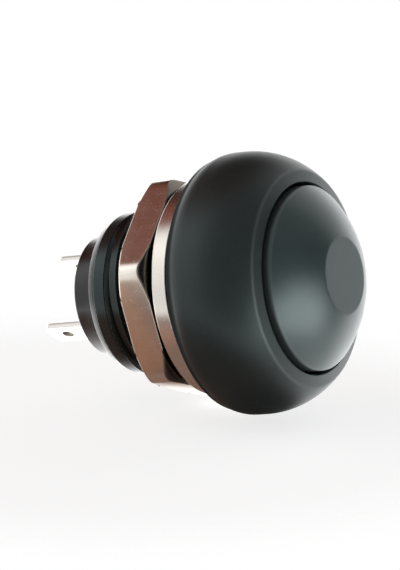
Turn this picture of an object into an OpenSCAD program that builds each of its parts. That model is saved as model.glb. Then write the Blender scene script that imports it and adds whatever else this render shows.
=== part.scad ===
// Panel-mount momentary push button switch for a 12 mm hole.
// The axis is Z, with the button towards +Z. The origin is the centre of the seating face,
// where the head's rim meets the panel. The terminals lie along X.

/* [Head] */
// Largest diameter of the head
head_d = 18; // [17.6:0.1:20]
// Diameter at the head's rear edge
head_rear_d = 17.4; // [17:0.1:17.6]
// Height of the head from the panel to the crease round its front
head_h = 6.15; // [5.9:0.05:6.6]
// Diameter of the crease round the front land
crease_d = 14.9; // [14.5:0.1:15.2]
// Diameter of the hole that the button moves in
well_d = 13; // [12.9:0.05:13.2]

/* [Button] */
// Diameter of the button's skirt
cap_d = 12.6; // [12.2:0.05:12.7]
// Height of the flat disc on top of the dome, above the panel
cap_top_z = 9; // [8.7:0.05:9.4]
// Radius of the dome's sphere
dome_r = 8.8; // [8.4:0.05:9.4]
// Diameter of the flat disc on top of the dome
disc_d = 5.3; // [4:0.1:6]
// How far the button travels when it is pressed
travel = 1.5; // [1:0.1:1.6]

/* [Barrel] */
// Outside diameter of the thread
thread_d = 11.7; // [11.5:0.05:11.8]
// Thread pitch, the nut's travel in one turn
thread_pitch = 1; // [0.75:0.25:1]
// Length from the panel to the end of the thread
thread_l = 6.8; // [6.2:0.1:7.2]
// Diameter of the plain pilot behind the thread
pilot_d = 11.2; // [11:0.05:11.3]
// Length of the plain pilot
pilot_l = 0.9; // [0.8:0.1:1.6]

/* [Mounting hardware] */
// Distance across the nut's flats
nut_flats = 14; // [13.6:0.1:14.2]
// Thickness of the nut
nut_t = 2.3; // [2:0.1:2.5]
// Outside diameter of the washer
washer_d = 15; // [14.6:0.1:15.2]
// Thickness of the washer
washer_t = 1.15; // [0.8:0.05:1.2]
// Clearance between the washer and the nut as they hang on the barrel
washer_nut_gap = 0.4; // [0.4:0.05:0.8]

/* [Terminals] */
// Diameter of the terminal base where it shows behind its flange
base_d = 8.4; // [8.2:0.1:9]
// Diameter of the base's flange, which closes the end of the barrel
flange_d = 11; // [10.4:0.1:11.1]
// Length of the base behind its flange
base_l = 1.95; // [1.6:0.05:2.4]
// Distance between the middles of the two blades
blade_spacing = 5.2; // [5:0.1:5.6]
// Width of a blade
blade_w = 2.2; // [1.8:0.1:2.4]
// Thickness of a blade
blade_t = 0.4; // [0.3:0.05:0.5]
// Diameter of the solder eyelet in a blade
eyelet_d = 0.8; // [0.7:0.1:1.1]
// How far a blade stands out behind the base
blade_l = 4.05; // [3.6:0.05:5]

/* [Hidden] */
$fn = 96;

fit = 0.05;            // radial clearance of a running fit
slip = 0.02;           // gap between two parts that rest against each other

// head
well_r = well_d / 2;
well_floor_z = 2.6;
belly_low_z = 1.6;
belly_high_z = 2.2;
crease_w = 0.07;       // fine flat ledge at the crease
land_z = head_h + 0.25; // the land rises a little from the crease to the well
rear_round = 0.5;
groove_r = 7.3;        // outside of the ring groove under the head
groove_depth = 0.75;
groove_bevel = 0.4;

// barrel
thread_r = thread_d / 2;
pilot_r = pilot_d / 2;
barrel_end_z = -thread_l - pilot_l;
end_bevel = 0.1;
chamber_r = 4.6;       // inside of the barrel, which holds the contacts
web_low_z = 0.8;       // the wall between the button's well and the contact chamber

// plunger
stem_r = 2.4;
gland_r = 3.5;
gland_z = 1.4;
seal_section_r = 0.5;
collar_r = 3.3;
collar_t = 1.1;
tail_r = 1;
tail_end_z = -4.6;

// base
base_top_z = -6.1;
base_r = base_d / 2;
flange_r = flange_d / 2;
flange_t = 0.5;
flange_taper = 0.2;    // how much smaller the flange is at its rear
flange_rear_z = barrel_end_z - slip - flange_t;
base_rear_z = flange_rear_z - base_l;
lug_x = blade_spacing / 2;
foot_t = 0.3;
foot_z = base_top_z;
blade_tip_z = base_rear_z - blade_l;
eyelet_z = blade_tip_z + 1.4;
rivet_h = 0.18;
contact_z = foot_z + foot_t + rivet_h;

// bridge, which stops just clear of the fixed contacts at full travel
bead_h = 0.2;
bridge_t = 0.3;
bridge_r = 3.4;
bridge_low_z = contact_z + travel + slip + bead_h;

// springs
return_r = 4.5;
return_wire_r = 0.2;
return_turns = 3.5;
return_top_z = 6;
contact_spring_r = 1.7;
contact_wire_r = 0.14;
contact_turns = 4;

// washer and nut
washer_front_z = -0.6;
washer_rear_z = washer_front_z - washer_t;
nut_front_z = washer_rear_z - washer_nut_gap;
nut_corner_r = nut_flats / 2 / cos(30);
nut_turned_r = 7.9;    // the corners are turned down to this
nut_face_r = 7.2;      // radius where the nut's 30 degree chamfer starts
nut_turn = 46;         // how far round the nut happens to stand

// Right half of a disc of radius r whose middle is at [x, y], as a revolved profile may use it
module arc_zone(x, y, r, low, high) {
    intersection() {
        translate([x, y]) circle(r = r);
        translate([0, low]) square([x + r, high - low]);
    }
}

// Radius of the arc that leaves a vertical wall and moves inwards by dx over a height of dy
function arc_r(dx, dy) = (dx * dx + dy * dy) / (2 * dx);

// Half section of the head: a rounded rear edge, a slow swell, a plain band, a round front, a land
module head_section() {
    head_r = head_d / 2;
    rear_r = head_rear_d / 2;
    crease_r = crease_d / 2;
    swell_r = arc_r(head_r - rear_r, belly_low_z - rear_round);
    front_r = arc_r(head_r - crease_r, head_h - belly_high_z);
    square([crease_r - 0.4, head_h]);
    arc_zone(rear_r - rear_round, rear_round, rear_round, 0, 2 * rear_round);
    square([rear_r - rear_round, 2 * rear_round]);
    arc_zone(head_r - swell_r, belly_low_z, swell_r, rear_round / 2, belly_low_z);
    translate([0, belly_low_z]) square([head_r, belly_high_z - belly_low_z]);
    arc_zone(head_r - front_r, belly_high_z, front_r, belly_high_z, head_h);
    polygon([[0, head_h - 1], [crease_r - crease_w, head_h - 1], [crease_r - crease_w, head_h],
        [well_r + 0.2, land_z], [0, land_z]]);
}

// Half section of the barrel: thread, plain pilot and bevelled end
module barrel_section() {
    polygon([[0, 1], [thread_r, 1], [thread_r, -thread_l + 0.3], [thread_r - 0.3, -thread_l],
        [pilot_r, -thread_l], [pilot_r, barrel_end_z + end_bevel],
        [pilot_r - end_bevel, barrel_end_z], [0, barrel_end_z]]);
}

// Half section of the ring groove under the head, with a bevelled lip
module groove_section() {
    polygon([[thread_r, -1], [groove_r + groove_bevel + 1, -1], [groove_r + groove_bevel, 0],
        [groove_r, groove_bevel], [groove_r, groove_depth], [thread_r, groove_depth]]);
}

// Half section of everything that is hollow inside the housing
module bore_section() {
    bevel = 0.1;
    polygon([[0, land_z + 1], [well_r + bevel + 1, land_z + 1], [well_r + bevel, land_z],
        [well_r, land_z - bevel], [well_r, well_floor_z], [gland_r, well_floor_z],
        [gland_r, gland_z], [stem_r + fit, gland_z], [stem_r + fit, web_low_z],
        [chamber_r, web_low_z], [chamber_r, barrel_end_z - 1], [0, barrel_end_z - 1]]);
}

// Head and threaded barrel, one nylon moulding
module housing() {
    color([0.10, 0.10, 0.11]) difference() {
        union() {
            rotate_extrude() head_section();
            rotate_extrude() barrel_section();
        }
        rotate_extrude() groove_section();
        rotate_extrude() bore_section();
    }
}

// Half section of the cap: a dome cut flat at the top, hollow beneath, with a socket for the stem
module cap_section() {
    cap_r = cap_d / 2;
    disc_r = disc_d / 2;
    wall = 1.1;
    centre_z = cap_top_z - sqrt(dome_r * dome_r - disc_r * disc_r);
    skirt_low_z = 4.3;
    ceiling_z = return_top_z;
    shoulder_z = centre_z + sqrt(dome_r * dome_r - cap_r * cap_r);
    edge = 0.15;       // broken edge between the skirt and the dome
    difference() {
        intersection() {
            arc_zone(0, centre_z, dome_r, skirt_low_z, cap_top_z);
            polygon([[0, skirt_low_z], [cap_r, skirt_low_z], [cap_r, shoulder_z - edge],
                [cap_r - 2 * edge, shoulder_z + 3 * edge], [cap_r - 2 * edge, cap_top_z],
                [0, cap_top_z]]);
        }
        // ring hollow for the return spring, between the skirt and the socket
        translate([stem_r + 1.1, skirt_low_z - 1])
            square([cap_r - wall - stem_r - 1.1, ceiling_z - skirt_low_z + 1]);
        // socket for the stem, with a snap groove near its mouth
        translate([0, skirt_low_z - 1]) square([stem_r + slip, socket_top_z - skirt_low_z + 1]);
        translate([0, snap_z - slip]) square([stem_r + snap_h + slip, snap_t + 2 * slip]);
    }
}
socket_top_z = 7.6;
snap_z = 5.7;
snap_h = 0.25;
snap_t = 0.5;

module button_cap() {
    color([0.15, 0.17, 0.17]) rotate_extrude() cap_section();
}

// Stem with a snap ring that holds the cap, a collar that stops it and a tail for the bridge
module plunger() {
    tip_z = socket_top_z - slip;
    collar_top_z = web_low_z - slip;
    clip_groove_z = bridge_low_z - bead_h - clip_t - slip;
    color([0.85, 0.85, 0.82]) rotate_extrude() difference() {
        polygon([[0, tip_z], [stem_r - 0.4, tip_z], [stem_r, tip_z - 0.4],
            [stem_r, snap_z + snap_t], [stem_r + snap_h, snap_z + snap_t / 2], [stem_r, snap_z],
            [stem_r, collar_top_z], [collar_r, collar_top_z], [collar_r, collar_top_z - collar_t],
            [tail_r, collar_top_z - collar_t], [tail_r, tail_end_z + 0.2],
            [tail_r - 0.2, tail_end_z], [0, tail_end_z]]);
        translate([clip_bore_r - fit, clip_groove_z - slip]) square([1, clip_t + 2 * slip]);
    }
}
clip_t = 0.25;
clip_bore_r = 0.75;

// Open circlip that holds the bridge on the plunger's tail
module bridge_clip() {
    low_z = bridge_low_z - bead_h - clip_t - slip;
    color([0.75, 0.76, 0.78]) translate([0, 0, low_z]) linear_extrude(clip_t) difference() {
        circle(r = 1.7);
        circle(r = clip_bore_r);
        translate([0, -0.6]) square([2, 1.2]);
        for (side = [-1, 1]) rotate(90 * side) translate([1.7, 0]) circle(r = 0.35, $fn = 24);
    }
}

// Round moving contact with a raised contact bead on its underside
module contact_bridge() {
    color([0.80, 0.66, 0.40]) rotate_extrude() difference() {
        union() {
            translate([0, bridge_low_z]) square([bridge_r, bridge_t]);
            polygon([[lug_x - 0.5, bridge_low_z + 0.1], [lug_x - 0.5, bridge_low_z],
                [lug_x - 0.3, bridge_low_z - bead_h], [lug_x + 0.3, bridge_low_z - bead_h],
                [lug_x + 0.5, bridge_low_z], [lug_x + 0.5, bridge_low_z + 0.1]]);
            translate([0, bridge_low_z - bead_h]) square([1.6, bead_h + bridge_t]);
        }
        translate([0, bridge_low_z - 1]) square([tail_r + fit, 2]);
    }
}

// Point on a round wire that climbs a helix: rings of points follow each other along the wire.
// The first and last 0.7 turn lie flat, as the ends of a compression spring do.
function coil_point(radius, wire_r, low, high, turns, ring, side, rings, sides) =
    let (share = ring / (rings - 1), a = 360 * turns * share, b = 360 * side / sides,
         flat = 0.7 / turns,
         climb = min(1, max(0, (share - flat) / (1 - 2 * flat))),
         z = low + wire_r + (high - low - 2 * wire_r) * climb)
    [(radius + wire_r * cos(b)) * cos(a), (radius + wire_r * cos(b)) * sin(a), z + wire_r * sin(b)];

module coil(radius, wire_r, low, high, turns) {
    sides = 8;
    rings = ceil(turns * 16) + 1;
    points = [for (ring = [0 : rings - 1]) for (side = [0 : sides - 1])
        coil_point(radius, wire_r, low, high, turns, ring, side, rings, sides)];
    walls = [for (ring = [0 : rings - 2]) for (side = [0 : sides - 1])
        let (a = ring * sides + side, b = ring * sides + (side + 1) % sides)
        [a, a + sides, b + sides, b]];
    first = [for (side = [0 : sides - 1]) side];
    last = [for (side = [sides - 1 : -1 : 0]) (rings - 1) * sides + side];
    polyhedron(points = points, faces = concat(walls, [first], [last]), convexity = 8);
}

module return_spring() {
    color([0.72, 0.74, 0.77])
        coil(return_r, return_wire_r, well_floor_z + slip, return_top_z - slip, return_turns);
}

module contact_spring() {
    color([0.72, 0.74, 0.77])
        coil(contact_spring_r, contact_wire_r, bridge_low_z + bridge_t + slip,
            web_low_z - slip - collar_t - slip, contact_turns);
}

// Rubber ring round the stem
module stem_seal() {
    color([0.12, 0.12, 0.12]) rotate_extrude()
        translate([stem_r + fit + seal_section_r, gland_z + slip + seal_section_r])
            circle(r = seal_section_r);
}

// Thin ring pressed into the mouth of the gland, which keeps the stem seal in
module seal_retainer() {
    color([0.82, 0.82, 0.80]) rotate_extrude()
        translate([stem_r + 2 * fit, gland_z + 2 * seal_section_r + 2 * slip])
            square([gland_r - stem_r - 2 * fit - slip, well_floor_z - gland_z - 2 * seal_section_r - 2 * slip]);
}

// Moulded plug that closes the barrel, with a tapered flange over its end, and carries the terminals
module terminal_base() {
    recess_z = base_rear_z + 0.5;
    color([0.08, 0.08, 0.09]) difference() {
        rotate_extrude() polygon([[1.35, base_top_z], [chamber_r - slip, base_top_z],
            [chamber_r - slip, barrel_end_z - slip], [flange_r, barrel_end_z - slip],
            [flange_r - flange_taper, flange_rear_z], [base_r, flange_rear_z],
            [base_r, base_rear_z + 0.1], [base_r - 0.1, base_rear_z],
            [base_r - 0.65, base_rear_z], [base_r - 0.65, recess_z], [0, recess_z],
            [0, base_top_z - 1], [1.35, base_top_z - 1]]);
        for (side = [-1, 1]) translate([side * lug_x, 0, (base_top_z + base_rear_z) / 2])
            cube([blade_t + 2 * slip, blade_w + 2 * slip, 5], center = true);
    }
}

// Flat blade with a rounded end and an eyelet, bent over the base at its inner end
module terminal() {
    half_t = blade_t / 2;
    corner = 0.5;
    rotate([90, 0, 90]) translate([0, 0, lug_x - half_t]) linear_extrude(blade_t) difference() {
        union() {
            translate([-blade_w / 2, blade_tip_z + corner])
                square([blade_w, foot_z + foot_t - blade_tip_z - corner]);
            translate([-blade_w / 2 + corner, blade_tip_z]) square([blade_w - 2 * corner, 1]);
            for (side = [-1, 1]) translate([side * (blade_w / 2 - corner), blade_tip_z + corner])
                circle(r = corner, $fn = 32);
        }
        translate([0, eyelet_z]) circle(r = eyelet_d / 2, $fn = 48);
    }
    // foot that lies on the base, towards the middle and under the bridge's bead
    translate([1.75, -blade_w / 2, foot_z]) cube([lug_x - 1.75, blade_w, foot_t]);
    translate([lug_x, -blade_w / 2, foot_z]) cube([0.9, blade_w, foot_t]);
}

module terminal_right() {
    color([0.80, 0.79, 0.76]) terminal();
}

module terminal_left() {
    color([0.80, 0.79, 0.76]) rotate(180) terminal();
}

// Silver contact on a terminal's foot
module contact() {
    translate([lug_x, 0, foot_z + foot_t]) {
        cylinder(r = 0.6, h = rivet_h - 0.06, $fn = 48);
        translate([0, 0, rivet_h - 0.06]) cylinder(r1 = 0.6, r2 = 0.45, h = 0.06, $fn = 48);
    }
}

module contact_right() {
    color([0.88, 0.88, 0.88]) contact();
}

module contact_left() {
    color([0.88, 0.88, 0.88]) rotate(180) contact();
}

// Sealing resin that fills the recess round the blades
module potting() {
    color([0.05, 0.05, 0.05]) difference() {
        translate([0, 0, base_rear_z + 0.12]) cylinder(r = base_r - 0.65 - slip, h = 0.5 - 0.12 - slip);
        for (side = [-1, 1]) translate([side * lug_x, 0, base_rear_z])
            cube([blade_t + 2 * slip, blade_w + 2 * slip, 3], center = true);
    }
}

// Rubber ring that seals the head to the panel
module o_ring() {
    section_r = 0.6;
    color([0.07, 0.07, 0.07]) rotate_extrude() translate([6.55, groove_depth - slip - section_r])
        circle(r = section_r);
}

// Flat nickel-plated washer with broken edges
module washer() {
    outer_r = washer_d / 2;
    edge = 0.1;
    color([0.80, 0.79, 0.77]) rotate_extrude() polygon([
        [thread_r + 2 * fit, washer_front_z], [outer_r - edge, washer_front_z],
        [outer_r, washer_front_z - edge], [outer_r, washer_rear_z + edge],
        [outer_r - edge, washer_rear_z], [thread_r + 2 * fit, washer_rear_z]]);
}

// Hexagon nut with its corners turned down, chamfered at 30 degrees on both faces and countersunk
// at both ends of its thread
module hex_nut() {
    drop = (nut_turned_r - nut_face_r) * tan(30);
    bore_r = thread_r + fit;
    color([0.76, 0.74, 0.72]) translate([0, 0, nut_front_z - nut_t]) rotate(nut_turn) difference() {
        intersection() {
            cylinder(r = nut_corner_r, h = nut_t, $fn = 6);
            rotate_extrude() polygon([[0, 0], [nut_face_r, 0], [nut_turned_r, drop],
                [nut_turned_r, nut_t - drop], [nut_face_r, nut_t], [0, nut_t]]);
        }
        rotate_extrude() polygon([[0, -1], [bore_r + 1.3, -1], [bore_r, 0.3],
            [bore_r, nut_t - 0.3], [bore_r + 1.3, nut_t + 1], [0, nut_t + 1]]);
    }
}

housing();
button_cap();
plunger();
return_spring();
stem_seal();
seal_retainer();
contact_bridge();
contact_spring();
bridge_clip();
terminal_base();
terminal_right();
terminal_left();
contact_right();
contact_left();
potting();
o_ring();
washer();
hex_nut();
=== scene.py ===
import math
import bmesh
import bpy
from mathutils import Matrix, Vector


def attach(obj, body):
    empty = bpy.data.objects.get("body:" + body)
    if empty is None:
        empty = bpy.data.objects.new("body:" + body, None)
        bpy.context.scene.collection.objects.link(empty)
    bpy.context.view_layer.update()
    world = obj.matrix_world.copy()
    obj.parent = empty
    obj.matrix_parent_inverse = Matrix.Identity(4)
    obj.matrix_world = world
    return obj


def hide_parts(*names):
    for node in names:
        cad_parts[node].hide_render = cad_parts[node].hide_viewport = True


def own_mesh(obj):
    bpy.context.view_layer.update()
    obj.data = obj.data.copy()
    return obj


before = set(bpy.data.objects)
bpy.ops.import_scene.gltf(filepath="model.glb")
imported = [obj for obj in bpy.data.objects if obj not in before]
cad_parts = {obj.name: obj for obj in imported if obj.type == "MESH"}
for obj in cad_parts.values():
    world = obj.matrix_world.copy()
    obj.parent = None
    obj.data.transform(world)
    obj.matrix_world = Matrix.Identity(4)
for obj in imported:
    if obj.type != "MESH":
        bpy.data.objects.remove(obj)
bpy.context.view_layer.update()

# ---------------------------------------------------------------- head and threaded barrel
# One nylon moulding: a bulbous head with a rising land round its well, and a hollow barrel with a
# right-hand thread and a plain pilot behind it. The moulding is charcoal with a fine matt skin, a
# little shinier on the barrel, and the mould leaves soft edges.
MM = 0.001
HEAD_R, BELLY_LOW, BELLY_HIGH = 9.0, 1.6, 2.2
REAR_R, REAR_ROUND = 8.7, 0.5
CREASE_R, CREASE_Z, CREASE_ROUND = 7.45, 6.15, 0.4
LAND_R, LAND_Z, SOFT_EDGE = 6.6, 6.4, 0.04
WELL_R, WELL_EDGE, WELL_FLOOR = 6.5, 6.26, 2.6
GLAND_R, GLAND_FLOOR, BORE_R = 3.5, 1.4, 2.45
CHAMBER_R, CHAMBER_TOP = 4.6, 0.8
GROOVE_R, GROOVE_TOP, GROOVE_BEVEL = 7.3, 0.75, 0.4
CREST_R, ROOT_R, PITCH = 5.85, 5.45, 1.0
THREAD_TOP, THREAD_END, THREAD_BEVEL = -0.9, -6.8, 0.3
FADE_LOW, FADE_HIGH = THREAD_TOP - 0.7, THREAD_TOP - 0.1
PILOT_R, PILOT_ROUND, BARREL_END = 5.6, 0.12, -7.7


class Socket:
    """One value in a finish. Arithmetic on it adds Math nodes."""

    def __init__(self, finish, output):
        self.finish = finish
        self.output = output

    def math(self, operation, *others):
        return self.finish.node("Math", {"operation": operation}, [self, *others])

    def __add__(self, other):
        return self.math("ADD", other)

    def __sub__(self, other):
        return self.math("SUBTRACT", other)

    def __mul__(self, other):
        return self.math("MULTIPLY", other)

    def __truediv__(self, other):
        return self.math("DIVIDE", other)

    def __pow__(self, other):
        return self.math("POWER", other)

    def __rsub__(self, other):
        return self.finish.node("Math", {"operation": "SUBTRACT"}, [other, self])

    __radd__ = __add__
    __rmul__ = __mul__

    def step(self, low, high):
        """0 below low, 1 above high and smooth between them. It falls where high is below low."""
        return self.finish.node("MapRange", {"interpolation_type": "SMOOTHSTEP"},
                                [self, low, high, 0.0, 1.0])

    def line(self, middle, width):
        """1 on a thin line where the value is middle, and 0 away from it."""
        away = (self - middle) / width
        return (away * away * -1.0).math("EXPONENT")


class Nodes:
    """A node tree as it is built up."""

    def __init__(self, tree):
        self.nodes, self.links = tree.nodes, tree.links
        self.nodes.clear()

    def node(self, kind, settings, values, output=None):
        """Adds a node, sets it, feeds its sockets, and gives one of its outputs."""
        made = self.nodes.new("ShaderNode" + kind)
        for setting, value in settings.items():
            setattr(made, setting, value)
        if isinstance(values, dict):
            fed = [(self.pick(made.inputs, name), value) for name, value in values.items()]
        else:
            fed = zip(made.inputs, values)
        for socket, value in fed:
            if isinstance(value, Socket):
                self.links.new(value.output, socket)
            else:
                socket.default_value = (*value, 1.0) if socket.type == "RGBA" else value
        if made.outputs:
            return Socket(self, self.pick(made.outputs, output) if output else made.outputs[0])

    @staticmethod
    def pick(sockets, name):
        return next(s for s in sockets if name in (s.identifier, s.name))

    def along(self, vector, axis):
        """How far a vector reaches along an axis of length 1."""
        return self.node("VectorMath", {"operation": "DOT_PRODUCT"}, [vector, list(axis)], "Value")

    def mix(self, share, first, second):
        """A colour between two others."""
        return self.node("Mix", {"data_type": "RGBA"},
                         {"Factor_Float": share, "A_Color": first, "B_Color": second}, "Result_Color")

    def cover(self, color, *layers):
        """A colour with layers of (share, colour) laid over it in turn."""
        for share, layer in layers:
            color = self.mix(share, color, layer)
        return color


class Finish(Nodes):
    """A material as it is made, with its places in millimetres of the whole object."""

    def __init__(self, name):
        self.material = bpy.data.materials.new(name)
        self.material.use_nodes = True
        super().__init__(self.material.node_tree)
        coordinates = self.node("TexCoord", {}, [], "Object")
        self.place = self.node("VectorMath", {"operation": "SCALE"},
                               {"Vector": coordinates, "Scale": 1 / MM})
        self.x, self.y, self.z = (self.node("SeparateXYZ", {}, [self.place], axis) for axis in "XYZ")
        self.radius = (self.x * self.x + self.y * self.y) ** 0.5

    def noise(self, size, detail=2.0, stretch=(1, 1, 1)):
        """Soft noise whose spots are about size millimetres across, longer along a stretched axis."""
        place = self.node("Mapping", {}, {"Vector": self.place, "Scale": [1 / s for s in stretch]})
        return self.node("TexNoise", {}, {"Vector": place, "Scale": 1 / size, "Detail": detail}, "Fac")

    def bump(self, height, depth):
        """A normal from a height of 0 to 1 that stands for a depth in millimetres."""
        return self.node("Bump", {}, {"Height": height, "Distance": depth * MM})

    def shade(self, **sockets):
        """Ends the material: its shader's sockets by name, with _ for a space."""
        values = {name.replace("_", " ").title().replace("Ior", "IOR"): value
                  for name, value in sockets.items()}
        shader = self.node("BsdfPrincipled", {}, values)
        self.node("OutputMaterial", {}, {"Surface": shader})


nylon = Finish("charcoal nylon")
grain = nylon.noise(0.09, 3.0)
cloud = nylon.noise(2.5, 2.0)
rub = nylon.noise(0.5, 4.0, (1, 1, 0.25)).step(0.56, 0.72)
# painted highlight: a lighter line along the crease round the land
crease_highlight = nylon.radius.line(CREASE_R - 0.05, 0.11) * nylon.z.line(CREASE_Z - 0.02, 0.11)
barrel = nylon.z.step(-0.3, THREAD_TOP)
head = 1.0 - barrel
threaded = barrel * nylon.z.step(THREAD_END - 0.2, THREAD_END)
# painted shade: the roots of the thread are made darker
thread_root_shade = nylon.radius.step(CREST_R - 0.1, ROOT_R + 0.03) * threaded
dull_rear = nylon.z.step(0.8, 0.2) * head
# painted shade: the head's rear rim beside the washer is made near black
rear_rim_shade = nylon.z.step(0.6, 0.25) * head
color = nylon.cover(nylon.mix(cloud, (0.0160, 0.0205, 0.0205), (0.0205, 0.0255, 0.0255)),
                    (rub * 0.2, (0.045, 0.052, 0.053)),
                    (crease_highlight * 0.85, (0.085, 0.096, 0.097)),
                    (barrel * 0.6, (0.010, 0.0105, 0.0105)),
                    (thread_root_shade * 0.5, (0.006, 0.006, 0.006)),
                    (rear_rim_shade * 0.9, (0.003, 0.003, 0.003)))
nylon.shade(base_color=color, specular_tint=(0.82, 1.0, 1.0),
            roughness=0.42 - barrel * 0.16 + dull_rear * 0.50 + (grain - 0.5) * 0.10 + rub * 0.05,
            normal=nylon.bump(grain * (1.0 - barrel * 0.8), 0.005))


def rounded(corners):
    """Half section from corners of (radius, height) or (radius, height, rounding), in millimetres.
    A point a little beyond each end of a rounding keeps the walls beside it flat."""
    steps, beyond = 4, 0.04
    points = []
    for index, (radius, height, *rounding) in enumerate(corners):
        corner = Vector((radius, height))
        if not rounding:
            points.append(corner)
            continue
        before = (Vector(corners[index - 1][:2]) - corner).normalized()
        after = (Vector(corners[(index + 1) % len(corners)][:2]) - corner).normalized()
        half = before.angle(after) / 2
        reach = rounding[0] / math.tan(half)
        centre = corner + (before + after).normalized() * (rounding[0] / math.sin(half))
        start, end = ((corner + side * reach - centre).normalized() for side in (before, after))
        points.append(corner + before * (reach + beyond))
        points += [centre + start.slerp(end, step / steps) * rounding[0] for step in range(steps + 1)]
        points.append(corner + after * (reach + beyond))
    return points


def arc(centre, radius, first, last, steps):
    """Points on an arc of a half section, between two angles in degrees above the outward axis."""
    angles = [math.radians(first + (last - first) * step / steps) for step in range(steps + 1)]
    return [(centre[0] + radius * math.cos(a), centre[1] + radius * math.sin(a)) for a in angles]


def bulge(wall, height, inward, rise, steps):
    """An arc that leaves an upright wall at a height and ends inward of it, after a rise or a fall."""
    radius = (inward ** 2 + rise ** 2) / (2 * inward)
    return arc((wall - radius, height), radius, 0, math.degrees(math.asin(rise / radius)), steps)


def spin(bm, points, closed, steps=128):
    """Turns a half section once round the switch's axis."""
    line = [bm.verts.new((radius * MM, 0, height * MM)) for radius, height in points]
    pairs = zip(line, line[1:] + line[:1]) if closed else zip(line, line[1:])
    edges = [bm.edges.new(pair) for pair in pairs]
    bmesh.ops.spin(bm, geom=line + edges, cent=(0, 0, 0), axis=(0, 0, 1), angle=2 * math.pi,
                   steps=steps, use_merge=True)
    bmesh.ops.remove_doubles(bm, verts=bm.verts, dist=1e-7)


def thread(foot_r, top_r, half_top):
    """Section of one pitch of a 60 degree thread, as (radius, height). It runs at foot_r and stands
    out to top_r in the middle of the pitch, over twice half_top."""
    half_foot = half_top + (top_r - foot_r) * math.tan(math.radians(30))
    middle = PITCH / 2
    return [(foot_r, 0), (foot_r, middle - half_foot), (top_r, middle - half_top),
            (top_r, middle + half_top), (foot_r, middle + half_foot), (foot_r, PITCH)]


def screw(section, low, high):
    """Winds a thread's section up a right-hand helix, and cuts it level at low and high. Both
    threads start from the same place, so that they fit together."""
    turn_steps = 96
    bm = bmesh.new()
    start = PITCH * math.floor(low / PITCH - 1)
    turns = math.ceil((high - start) / PITCH) + 1
    line = [bm.verts.new((radius * MM, 0, (start + height) * MM)) for radius, height in section]
    edges = [bm.edges.new(pair) for pair in zip(line, line[1:])]
    bmesh.ops.spin(bm, geom=line + edges, cent=(0, 0, 0), axis=(0, 0, 1), angle=2 * math.pi * turns,
                   dvec=(0, 0, PITCH * MM / turn_steps), steps=turns * turn_steps)
    bmesh.ops.remove_doubles(bm, verts=bm.verts, dist=1e-6)
    for height, side in ((low, 1), (high, -1)):
        bmesh.ops.bisect_plane(bm, geom=bm.verts[:] + bm.edges[:] + bm.faces[:], dist=1e-8,
                               plane_co=(0, 0, height * MM), plane_no=(0, 0, side), clear_inner=True)
    return bm


def reshape(bm, radius_at):
    """Moves points in or out from the axis: radius_at gives a radius for an old one and a height."""
    for vert in bm.verts:
        radius = math.hypot(vert.co.x, vert.co.y)
        share = radius_at(radius / MM, vert.co.z / MM) * MM / radius
        vert.co.x *= share
        vert.co.y *= share


def close(bm, height):
    """Bridges the two open rims at one height."""
    rims = [e for e in bm.edges if e.is_boundary
            and all(abs(v.co.z - height * MM) < 0.03 * MM for v in e.verts)]
    bmesh.ops.bridge_loops(bm, edges=rims)


def piece(bm, name, material, body, slot, *nodes, sharp=35):
    """Makes a finished object from a bmesh, which rides on a body and stands for CAD nodes."""
    bmesh.ops.recalc_face_normals(bm, faces=bm.faces)
    mesh = bpy.data.meshes.new(name)
    bm.to_mesh(mesh)
    bm.free()
    mesh.shade_smooth()
    mesh.set_sharp_from_angle(angle=math.radians(sharp))
    mesh.materials.append(material)
    made = bpy.data.objects.new(name, mesh)
    bpy.context.scene.collection.objects.link(made)
    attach(made, body)
    if nodes:
        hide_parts(*nodes)
    return made


def run_out(radius, height):
    """The thread fades out below the head and is bevelled at its free end."""
    fade = min(1, max(0, (height - FADE_LOW) / (FADE_HIGH - FADE_LOW)))
    bevel = CREST_R - max(0, THREAD_END + THREAD_BEVEL - height)
    return min(radius + (CREST_R - radius) * fade, bevel)


bm = screw(thread(ROOT_R, CREST_R, 0.063), THREAD_END, THREAD_TOP)
reshape(bm, run_out)
swell = bulge(HEAD_R, BELLY_LOW, HEAD_R - REAR_R, REAR_ROUND - BELLY_LOW, 6)
brow = bulge(HEAD_R, BELLY_HIGH, HEAD_R - CREASE_R, CREASE_Z - BELLY_HIGH, 14)
moulding = [(CREST_R, THREAD_TOP + 0.02), (CREST_R, GROOVE_TOP), (GROOVE_R, GROOVE_TOP),
            (GROOVE_R, GROOVE_BEVEL), (GROOVE_R + GROOVE_BEVEL, 0, SOFT_EDGE),
            *arc((REAR_R - REAR_ROUND, REAR_ROUND), REAR_ROUND, -90, -15, 5),
            *reversed(swell), *brow[:-1], (CREASE_R, CREASE_Z, CREASE_ROUND),
            (LAND_R, LAND_Z, SOFT_EDGE), (WELL_R, WELL_EDGE, SOFT_EDGE), (WELL_R, WELL_FLOOR),
            (GLAND_R, WELL_FLOOR), (GLAND_R, GLAND_FLOOR), (BORE_R, GLAND_FLOOR),
            (BORE_R, CHAMBER_TOP), (CHAMBER_R, CHAMBER_TOP), (CHAMBER_R, BARREL_END),
            (PILOT_R, BARREL_END, PILOT_ROUND), (PILOT_R, THREAD_END)]
spin(bm, rounded(moulding), closed=False)
close(bm, THREAD_TOP)
close(bm, THREAD_END)
piece(bm, "head_and_barrel", nylon.material, "housing", "housing_nylon", "housing")

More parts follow.
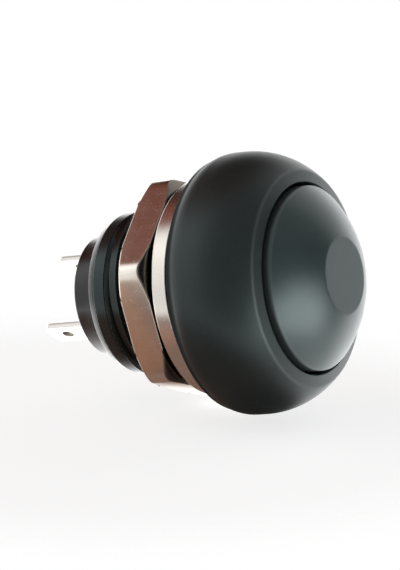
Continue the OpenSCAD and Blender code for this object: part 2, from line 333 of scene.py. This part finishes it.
# ---------------------------------------------------------------- button cap
# A hollow domed cap with a small flat disc on top, moulded in the same nylon and tumbled to a satin
# skin that is a shade greyer and greener than the head. It snaps onto the stem from above.
SKIRT_R, SKIRT_LOW, DOME_R, DISC_R, CAP_TOP = 6.3, 4.3, 8.8, 2.65, 9.0
HOLLOW_INSIDE, HOLLOW_OUTSIDE, HOLLOW_TOP = 3.5, 5.2, 6.0
SOCKET_R, SOCKET_TOP = 2.42, 7.6
SNAP_R, SNAP_LOW, SNAP_HIGH = 2.67, 5.68, 6.2

satin = Finish("satin cap nylon")
grain = satin.noise(0.07, 3.0)
cloud = satin.noise(1.8, 3.0)
specks = satin.noise(0.16, 1.0).step(0.70, 0.76)
handled = satin.noise(0.7, 4.0, (1, 0.3, 1)).step(0.50, 0.70) * satin.z.step(6.6, 8.6)
# painted highlight: a lighter line round the cap's shoulder
shoulder_highlight = satin.radius.line(SKIRT_R - 0.1, 0.10) * satin.z.line(6.82, 0.10)
# painted shade: the skirt below the shoulder, down in the gap, is made near black
skirt_shade = satin.z.step(6.72, 6.60)
top = satin.z.step(CAP_TOP - 0.2, CAP_TOP - 0.05)
disc_line = satin.radius.line(DISC_R + 0.01, 0.06) * top
disc = satin.radius.step(DISC_R + 0.03, DISC_R - 0.05) * top
color = satin.cover(satin.mix(cloud, (0.036, 0.056, 0.059), (0.045, 0.067, 0.069)),
                    (disc_line * 0.3 + specks * 0.2 + shoulder_highlight * 0.6, (0.12, 0.14, 0.14)),
                    (disc * 0.5, (0.018, 0.034, 0.036)),
                    (skirt_shade * 0.8, (0.008, 0.010, 0.010)))
satin.shade(base_color=color, specular_tint=(0.87, 1.0, 1.0), ior=1.6,
            roughness=0.35 + skirt_shade * 0.25 + disc * 0.06 + (grain - 0.5) * 0.08 - handled * 0.05,
            normal=satin.bump(grain * 0.6 + cloud * 0.4, 0.005))

dome_centre = CAP_TOP - math.sqrt(DOME_R ** 2 - DISC_R ** 2)
low_angle = math.degrees(math.acos(SKIRT_R / DOME_R))
disc_angle = math.degrees(math.acos(DISC_R / DOME_R))
dome = arc((0, dome_centre), DOME_R, low_angle + 1.2, disc_angle - 0.7, 18)
shoulder = dome_centre + DOME_R * math.sin(math.radians(low_angle))
cap = [(0, SOCKET_TOP), (SOCKET_R, SOCKET_TOP), (SOCKET_R, SNAP_HIGH), (SNAP_R, SNAP_HIGH),
       (SNAP_R, SNAP_LOW), (SOCKET_R, SNAP_LOW), (SOCKET_R, SKIRT_LOW),
       (HOLLOW_INSIDE, SKIRT_LOW), (HOLLOW_INSIDE, HOLLOW_TOP), (HOLLOW_OUTSIDE, HOLLOW_TOP),
       (HOLLOW_OUTSIDE, SKIRT_LOW), (SKIRT_R, SKIRT_LOW, 0.1), (SKIRT_R, shoulder, 0.24), *dome,
       (DISC_R, CAP_TOP - 0.002), (DISC_R - 0.09, CAP_TOP), (1.4, CAP_TOP), (0, CAP_TOP)]
bm = bmesh.new()
spin(bm, rounded(cap), closed=False)
piece(bm, "button_cap_dome", satin.material, "button", "cap_nylon", "button_cap")

# ---------------------------------------------------------------- washer
# Flat washer stamped from steel strip and nickel plated. The punch rolls one edge over and leaves
# the other sharper. The rim is bright, with fine marks round it, and the two faces carry painted shade.
WASHER_HOLE_R, WASHER_R, WASHER_FRONT, WASHER_REAR = 5.95, 7.5, -0.6, -1.75

nickel = Finish("bright nickel plate")
turned = nickel.node("CombineXYZ", {}, [nickel.radius, nickel.y.math("ARCTAN2", nickel.x) * 0.8,
                                        nickel.z])
lathe_marks = nickel.node("TexNoise", {}, {"Vector": turned, "Scale": 14.0, "Detail": 3.0}, "Fac")
scratches = nickel.noise(0.11, 3.0, (6, 1, 1)).step(0.62, 0.68)
stain = nickel.noise(1.6, 4.0)
# painted shade on both faces of the washer, where it sits between the head and the nut
faces = (nickel.z.step(WASHER_FRONT - 0.03, WASHER_FRONT - 0.005)
         + nickel.z.step(WASHER_REAR + 0.02, WASHER_REAR + 0.005))
color = nickel.cover(nickel.mix(stain, (0.66, 0.62, 0.56), (0.76, 0.73, 0.68)),
                     (scratches * 0.1, (0.86, 0.85, 0.83)),
                     (faces * 0.65, (0.10, 0.09, 0.08)))
nickel.shade(base_color=color, metallic=1.0,
             roughness=0.20 + lathe_marks * 0.06 + scratches * 0.05 + stain * 0.04,
             normal=nickel.bump(lathe_marks * 0.6 + scratches * 0.4, 0.001))

bm = bmesh.new()
spin(bm, rounded([(WASHER_HOLE_R, WASHER_FRONT, 0.05), (WASHER_HOLE_R, WASHER_REAR, 0.05),
                  (WASHER_R, WASHER_REAR, 0.16), (WASHER_R, WASHER_FRONT, 0.07)]), closed=True)
piece(bm, "washer_ring", nickel.material, "washer", "nickel_plate", "washer")

# ---------------------------------------------------------------- hexagon nut
# Turned from hexagon bar, chamfered at 30 degrees on both faces, tapped with a shallow thread that
# clears the barrel's pilot, and nickel plated. Its flats keep the marks of the drawn bar, its turned
# corners carry a painted highlight, and its front face is darkened with painted shade.
NUT_FRONT, NUT_REAR, NUT_TURN = -2.15, -4.45, 46
FLAT_R, FACE_R, TURNED_R = 7.0, 7.2, 7.9
NUT_GROOVE_R, NUT_RIDGE_R, MOUTH_R = 5.9, 5.64, 6.2
CHAMFER_SLOPE = math.tan(math.radians(30))

drawn = Finish("nickel plate on drawn bar")
draw_marks = drawn.noise(0.10, 3.0, (1, 1, 14))
nicks = drawn.noise(0.35, 2.0).step(0.66, 0.70)
stain = drawn.noise(1.3, 4.0)
# painted highlight: the turned corners are made lighter
turned_corner_highlight = drawn.radius.step(TURNED_R - 0.16, TURNED_R - 0.02)
# painted shade: the front face and its chamfers, behind the washer, are made dark
chamfer_drop = (drawn.radius - FACE_R).math("MAXIMUM", 0.0) * CHAMFER_SLOPE
front_face_shade = (drawn.z + chamfer_drop).step(NUT_FRONT - 0.07, NUT_FRONT - 0.01)
color = drawn.cover(drawn.mix(stain, (0.55, 0.48, 0.41), (0.66, 0.585, 0.51)),
                    (turned_corner_highlight * 0.8 + nicks * 0.05, (0.86, 0.81, 0.75)),
                    (front_face_shade * 0.75, (0.08, 0.07, 0.06)))
drawn.shade(base_color=color, metallic=1.0,
            roughness=0.19 + draw_marks * 0.08 + stain * 0.05 + nicks * 0.05,
            normal=drawn.bump(draw_marks * 0.7 + nicks * 0.3, 0.0015))

CORNER_ROUND = (FLAT_R / math.cos(math.pi / 6) - TURNED_R) / (1 / math.cos(math.pi / 6) - 1)
round_centre = TURNED_R - CORNER_ROUND
round_share = math.pi / 6 - math.atan(round_centre / 2 / FLAT_R)


def hexagon(angle):
    """Radius of the nut's outline, with rounded corners, at an angle from one corner."""
    from_flat = abs(angle % (math.pi / 3) - math.pi / 6)
    from_corner = math.pi / 6 - from_flat
    if from_corner > round_share:
        return FLAT_R / math.cos(from_flat)
    return (round_centre * math.cos(from_corner)
            + math.sqrt(CORNER_ROUND ** 2 - (round_centre * math.sin(from_corner)) ** 2))


bm = screw(thread(NUT_RIDGE_R, NUT_GROOVE_R, 0.113), NUT_REAR, NUT_FRONT)
reshape(bm, lambda radius, height: max(radius, MOUTH_R - min(NUT_FRONT - height, height - NUT_REAR)))

# With 240 steps no point lies close beside a corner, where the bevel would turn it into a spike
drop = (TURNED_R - FACE_R) * CHAMFER_SLOPE
half_section = [(MOUTH_R + 0.02, NUT_FRONT), (FACE_R, NUT_FRONT), (TURNED_R, NUT_FRONT - drop),
                (TURNED_R, NUT_REAR + drop), (FACE_R, NUT_REAR), (MOUTH_R + 0.02, NUT_REAR)]
sides = bmesh.new()
spin(sides, half_section, closed=False, steps=240)
for vert in sides.verts:
    radius, angle = math.hypot(vert.co.x, vert.co.y) / MM, math.atan2(vert.co.y, vert.co.x)
    if radius < MOUTH_R + 0.1:
        continue
    new = min(radius, hexagon(angle))
    if radius > FACE_R + 0.1:
        lowered = max(0, new - FACE_R) * CHAMFER_SLOPE
        is_front = vert.co.z / MM > (NUT_FRONT + NUT_REAR) / 2
        vert.co.z = (NUT_FRONT - lowered if is_front else NUT_REAR + lowered) * MM
    vert.co.x, vert.co.y = (vert.co.x * new / radius, vert.co.y * new / radius)
bmesh.ops.remove_doubles(sides, verts=sides.verts, dist=2e-6)
bmesh.ops.rotate(sides, verts=sides.verts, cent=(0, 0, 0),
                 matrix=Matrix.Rotation(math.radians(NUT_TURN), 3, "Z"))
edges = [e for e in sides.edges if len(e.link_faces) == 2 and e.calc_face_angle() > 0.3]
bmesh.ops.bevel(sides, geom=edges, offset=0.1 * MM, affect="EDGES", segments=4, profile=0.5,
                material=-1)
shell = bpy.data.meshes.new("nut sides")
sides.to_mesh(shell)
sides.free()
bm.from_mesh(shell)
bpy.data.meshes.remove(shell)
close(bm, NUT_FRONT)
close(bm, NUT_REAR)
piece(bm, "threaded_hex_nut", drawn.material, "nut", "nickel_plate", "hex_nut", sharp=25)

# ---------------------------------------------------------------- solder terminals
# Two flat blades stamped from brass strip and tin plated, each with a soldering eyelet near its
# round-cornered tip. They stand in slots of the base and their inner ends are bent over it.
EYELET_Z = -12.82

tin = Finish("tin plate")
rolled = tin.noise(0.09, 3.0, (1, 1, 10))
blotch = tin.noise(0.8, 4.0)
tarnish = tin.z.step(-10.6, -10.0)
from_eyelet = ((tin.z - EYELET_Z) * (tin.z - EYELET_Z) + tin.y * tin.y) ** 0.5
color = tin.cover(tin.mix(blotch, (0.62, 0.60, 0.55), (0.80, 0.785, 0.75)),
                  (from_eyelet.step(0.75, 0.42) * 0.5 + tarnish * 0.3, (0.50, 0.46, 0.38)))
tin.shade(base_color=color, metallic=1.0, roughness=0.26 + blotch * 0.14 + rolled * 0.06,
          normal=tin.bump(rolled * 0.6 + blotch * 0.4, 0.004))


def softened(node, width):
    """A merged copy of a CAD node with its sharp edges rounded over a width in millimetres."""
    bm = bmesh.new()
    bm.from_mesh(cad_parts[node].data)
    bmesh.ops.remove_doubles(bm, verts=bm.verts, dist=1e-6)
    bmesh.ops.dissolve_limit(bm, angle_limit=0.01, verts=bm.verts, edges=bm.edges)
    edges = [e for e in bm.edges if len(e.link_faces) == 2 and e.calc_face_angle() > 0.5]
    bmesh.ops.bevel(bm, geom=edges, offset=width * MM, affect="EDGES", segments=2, profile=0.5,
                    material=-1)
    return bm


for side in ("right", "left"):
    piece(softened(f"terminal_{side}", 0.035), f"solder_blade_{side}", tin.material, "housing",
          "tin_plate", f"terminal_{side}", sharp=25)

# ---------------------------------------------------------------- terminal base and resin
# A glossy black moulded plug closes the barrel with a tapered flange over its end, and carries the
# blades. Black resin is poured into its recess, shrinks as it sets, and creeps up the blades.
BLADE_X, HALF_BLADE = 2.6, 0.2

gloss = Finish("glossy base plastic")
wave = gloss.noise(1.2, 2.0)
dust = gloss.noise(0.10, 2.0).step(0.68, 0.74)
gloss.shade(base_color=gloss.mix(dust * 0.5, (0.008, 0.008, 0.009), (0.05, 0.05, 0.05)),
            roughness=0.16 + wave * 0.08 + dust * 0.25, normal=gloss.bump(wave, 0.02))
piece(softened("terminal_base", 0.05), "base_plug", gloss.material, "housing", "base_plastic",
      "terminal_base", sharp=25)

resin = Finish("poured resin")
from_blade = (resin.x.math("ABSOLUTE") - BLADE_X).math("ABSOLUTE")
beside_blade = (from_blade - HALF_BLADE).math("MAXIMUM", 0.0)
creep = beside_blade.step(0.35, 0.0) * resin.y.math("ABSOLUTE").step(1.4, 1.0)
skin = resin.noise(0.6, 3.0)
resin.shade(base_color=resin.mix(skin, (0.006, 0.006, 0.006), (0.014, 0.013, 0.012)),
            roughness=0.10 + skin * 0.12, normal=resin.bump(creep + skin * 0.3, 0.06))
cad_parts["potting"].data.materials[0] = resin.material

# ---------------------------------------------------------------- rubber rings
# The ring under the head seals it to the panel, and a smaller one seals the stem. Both are moulded
# in black rubber, dull, with a thin parting line round their middles.
PANEL_RING_Z, STEM_RING_Z = 0.13, 1.92

rubber = Finish("black rubber")
bloom = rubber.noise(0.5, 4.0)
pores = rubber.noise(0.06, 2.0)
parting = rubber.z.line(PANEL_RING_Z, 0.02) + rubber.z.line(STEM_RING_Z, 0.02)
rubber.shade(base_color=rubber.mix(bloom, (0.012, 0.012, 0.012), (0.028, 0.028, 0.027)),
             roughness=0.62 + bloom * 0.12, normal=rubber.bump(pores * 0.4 + parting, 0.01))
for node in ("o_ring", "stem_seal"):
    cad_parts[node].data.materials[0] = rubber.material

# ---------------------------------------------------------------- stem
# The white acetal stem snaps into the cap, slides through the floor of the head, and carries the
# bridge on its tail. Acetal is smooth and slightly waxy, with faint flow lines.
acetal = Finish("white acetal")
flow = acetal.noise(0.5, 3.0, (1, 1, 6))
acetal.shade(base_color=acetal.mix(flow, (0.74, 0.74, 0.70), (0.82, 0.82, 0.79)),
             roughness=0.30 + flow * 0.10, normal=acetal.bump(flow, 0.006))
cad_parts["plunger"].data.materials[0] = acetal.material

# ---------------------------------------------------------------- springs
# Both springs are wound from drawn stainless wire with their end turns laid flat. The return
# spring pushes the cap up, and the smaller one presses the bridge down the stem's tail.
wire = Finish("drawn spring wire")
die_marks = wire.noise(0.05, 2.0, (1, 1, 3))
wire.shade(base_color=wire.mix(die_marks, (0.52, 0.52, 0.53), (0.66, 0.66, 0.67)),
           metallic=1.0, roughness=0.24 + die_marks * 0.14, normal=wire.bump(die_marks, 0.003))


def coil(name, body, node, radius, wire_r, low, high, turns):
    """A compression spring: its wire's section turned level, then up a helix, then level again."""
    level_turns, turn_steps = 0.7, 36
    climb = (high - low - 2 * wire_r) * MM
    bm = bmesh.new()
    section = bmesh.ops.create_circle(bm, cap_ends=False, segments=12, radius=wire_r * MM)["verts"]
    bmesh.ops.rotate(bm, verts=section, cent=(0, 0, 0), matrix=Matrix.Rotation(math.pi / 2, 3, "X"))
    bmesh.ops.translate(bm, verts=section, vec=(radius * MM, 0, (low + wire_r) * MM))
    bmesh.ops.edgenet_fill(bm, edges=bm.edges)
    last = bm.verts[:] + bm.edges[:]
    for part, rise in ((level_turns, 0), (turns - 2 * level_turns, climb), (level_turns, 0)):
        steps = round(part * turn_steps)
        last = bmesh.ops.spin(bm, geom=last, cent=(0, 0, 0), axis=(0, 0, 1), steps=steps,
                              angle=2 * math.pi * part, dvec=(0, 0, rise / steps))["geom_last"]
        last = [g for g in last if not isinstance(g, bmesh.types.BMFace)]
    bmesh.ops.edgenet_fill(bm, edges=[g for g in last if isinstance(g, bmesh.types.BMEdge)])
    return piece(bm, name, wire.material, body, "spring_wire", node, sharp=50)


spring = coil("return_coil", "housing", "return_spring",
              radius=4.5, wire_r=0.2, low=2.62, high=5.98, turns=3.5)
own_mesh(spring)
spring = coil("contact_coil", "button", "contact_spring",
              radius=1.7, wire_r=0.14, low=-3.58, high=-0.34, turns=4)
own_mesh(spring)

# ---------------------------------------------------------------- bridge, contacts and clips
# Inside the barrel a silver-washed brass disc closes the circuit between two silver rivets on the
# terminals' feet. A stamped steel clip holds it on the stem, and a steel ring keeps the stem's
# seal in.
brass = Finish("silver-washed brass")
wash = brass.noise(0.7, 4.0)
brass.shade(base_color=brass.mix(wash, (0.66, 0.48, 0.22), (0.82, 0.74, 0.58)), metallic=1.0,
            roughness=0.22 + wash * 0.14, normal=brass.bump(wash, 0.004))
silver = Finish("silver contact")
dimple = silver.noise(0.2, 2.0)
silver.shade(base_color=silver.mix(dimple, (0.80, 0.80, 0.78), (0.92, 0.92, 0.91)), metallic=1.0,
             roughness=0.14 + dimple * 0.16, normal=silver.bump(dimple, 0.006))
stamped = Finish("stamped steel")
roll = stamped.noise(0.12, 3.0, (5, 1, 1))
stamped.shade(base_color=stamped.mix(roll, (0.46, 0.47, 0.49), (0.60, 0.61, 0.62)), metallic=1.0,
              roughness=0.24 + roll * 0.14, normal=stamped.bump(roll, 0.004))
for finish, nodes in ((brass, ["contact_bridge"]), (silver, ["contact_right", "contact_left"]),
                      (stamped, ["bridge_clip", "seal_retainer"])):
    for node in nodes:
        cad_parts[node].data.materials[0] = finish.material

# ---------------------------------------------------------------- camera
# A long lens looks at the switch as it lies on its side, with its button to the right and turned 33
# degrees towards the lens. The view's own directions are to the right, up and back to the lens.
axis_right = Vector((-0.1692, 0.5153, 0.8402)).normalized()
axis_up = Vector((-0.9082, -0.4126, 0.0701)).normalized()
axis_back = axis_right.cross(axis_up).normalized()
axis_up = axis_back.cross(axis_right)
eye = (axis_right * -6.94 + axis_up * -0.58 + axis_back * 245.56) * MM
aim = axis_right * -2.1 * MM
lens_back = (eye - aim).normalized()
lens_right = axis_up.cross(lens_back).normalized()
turn = Matrix((lens_right, lens_back.cross(lens_right), lens_back)).transposed().to_4x4()
camera = bpy.data.objects.new("camera", bpy.data.cameras.new("camera"))
camera.data.lens = 226
camera.data.clip_start, camera.data.clip_end = 0.01, 5
camera.matrix_world = Matrix.Translation(eye) @ turn
bpy.context.scene.collection.objects.link(camera)
bpy.context.scene.camera = camera

# ---------------------------------------------------------------- floor
# The switch lies just above a pale floor, which the nut clears at every pose. The floor takes its
# soft shadow and fades out a little way from it. In reflections it is bright, brightest behind the
# switch, warm in front of the barrel and dim under the head.
FLOOR_R, FLOOR_DROP, FLOOR_LEFT, FLOOR_TILT = 50, 9, 8, math.radians(12.7)

floor_up = axis_up * math.cos(FLOOR_TILT) + axis_back * math.sin(FLOOR_TILT)
middle = Matrix.Translation((floor_up * -FLOOR_DROP - axis_right * FLOOR_LEFT) * MM)
bm = bmesh.new()
bmesh.ops.create_circle(bm, cap_ends=True, segments=64, radius=FLOOR_R * MM)
bmesh.ops.transform(bm, verts=bm.verts,
                    matrix=middle @ floor_up.to_track_quat("Z", "Y").to_matrix().to_4x4())
mesh = bpy.data.meshes.new("floor")
bm.to_mesh(mesh)
bm.free()
floor = bpy.data.objects.new("floor", mesh)
bpy.context.scene.collection.objects.link(floor)

paper = Finish("pale floor")
to_right, to_back = (paper.along(paper.place, axis) for axis in (axis_right, axis_back))


def away(right, back, squeeze=1.0):
    """Distance in millimetres from a place on the floor, less to the right and left if squeezed."""
    aside, beyond = (to_right - right) * squeeze, to_back - back
    return (aside * aside + beyond * beyond) ** 0.5


seen, shiny, through = (paper.node("LightPath", {}, [], f"Is {kind} Ray")
                        for kind in ("Camera", "Glossy", "Transmission"))
shaded = (to_right.step(-13, -7) * 0.6).math("MAXIMUM", to_back.step(9.0, 10.4) * 0.9)
warm = paper.mix(shaded, (0.27, 0.095, 0.03), (0.03, 0.012, 0.008))
white = paper.mix(to_back.step(1, -5), (1.5, 1.5, 1.5), (2.4, 2.4, 2.4))
reflected = paper.mix(away(-11, 7, 0.7).step(10, 14), warm, white)
out_of_contact = away(2.5, 2.5).step(2, 5)
matt = paper.node("BsdfDiffuse", {}, {"Color": (0.42, 0.42, 0.42)})
lift = paper.node("Emission", {}, {"Color": (1, 1, 1), "Strength": seen * 0.76})
glow = paper.node("Emission", {}, {"Color": reflected,
                                   "Strength": (shiny + through) * (out_of_contact * 0.9 + 0.1)})
lit = paper.node("AddShader", {}, [paper.node("AddShader", {}, [matt, lift]), glow])
clear = paper.node("BsdfTransparent", {}, [])
underside = paper.node("NewGeometry", {}, [], "Backfacing")
faded = underside.math("MAXIMUM", away(-8, 0).step(20, 34))
paper.node("OutputMaterial", {}, {"Surface": paper.node("MixShader", {}, [faded, lit, clear])})
mesh.materials.append(paper.material)

# ---------------------------------------------------------------- room and lamp
# A plain white room, with patches of other light that lie in set directions: (right, up, back),
# how near to that direction a patch starts and is full, its colour, and whether only reflections
# see it. A small lamp on the left gives the edges their light.
PATCHES = [
    # bright wall behind
    ((0, -0.3, -0.95), 0.25, 0.80, (2.3, 2.3, 2.3), True),
    # light from the upper left
    ((-0.72, 0.69, 0.05), 0.84, 0.98, (1.3, 1.3, 1.3), True),
    # dim side, where the viewer stands
    ((0.45, 0.1, 0.89), 0.06, 0.40, (0.32, 0.33, 0.33), False),
    # dark far right
    ((0.99, 0.11, 0.10), 0.80, 0.97, (0.12, 0.125, 0.125), False),
    # warm wall above
    ((-0.25, 0.88, -0.3), 0.775, 0.91, (0.22, 0.06, 0.04), False),
    # dark place high behind
    ((-0.05, 0.8, -0.6), 0.85, 0.97, (0.04, 0.015, 0.01), False),
    # low light on the right
    ((0.74, -0.50, 0.45), 0.78, 0.96, (5.0, 5.0, 5.0), True),
]

world = bpy.data.worlds.new("room")
world.use_nodes = True
bpy.context.scene.world = world
room = Nodes(world.node_tree)
looked = room.node("TexCoord", {}, [], "Generated")
camera_ray, glossy_ray = (room.node("LightPath", {}, [], f"Is {kind} Ray")
                          for kind in ("Camera", "Glossy"))
color = (1.0, 1.0, 1.0)
for (right, up, back), start, full, patch, only_reflected in PATCHES:
    axis = (axis_right * right + axis_up * up + axis_back * back).normalized()
    share = room.along(looked, axis).step(start, full)
    color = room.mix(share * glossy_ray if only_reflected else share, color, patch)
color = room.mix(camera_ray, color, (1, 1, 1))
room.node("OutputWorld", {}, {"Surface": room.node("Background", {}, {"Color": color, "Strength": 1.0})})

light = bpy.data.lights.new("lamp on the left", "AREA")
light.size, light.energy = 200 * MM, 0.02
lamp = bpy.data.objects.new("lamp on the left", light)
lamp.location = (axis_right * -270 + axis_up * 100 + axis_back * 110) * MM
lamp.rotation_mode = "QUATERNION"
lamp.rotation_quaternion = lamp.location.to_track_quat("Z", "Y")
bpy.context.scene.collection.objects.link(lamp)

bpy.context.scene.view_settings.view_transform = "Standard"
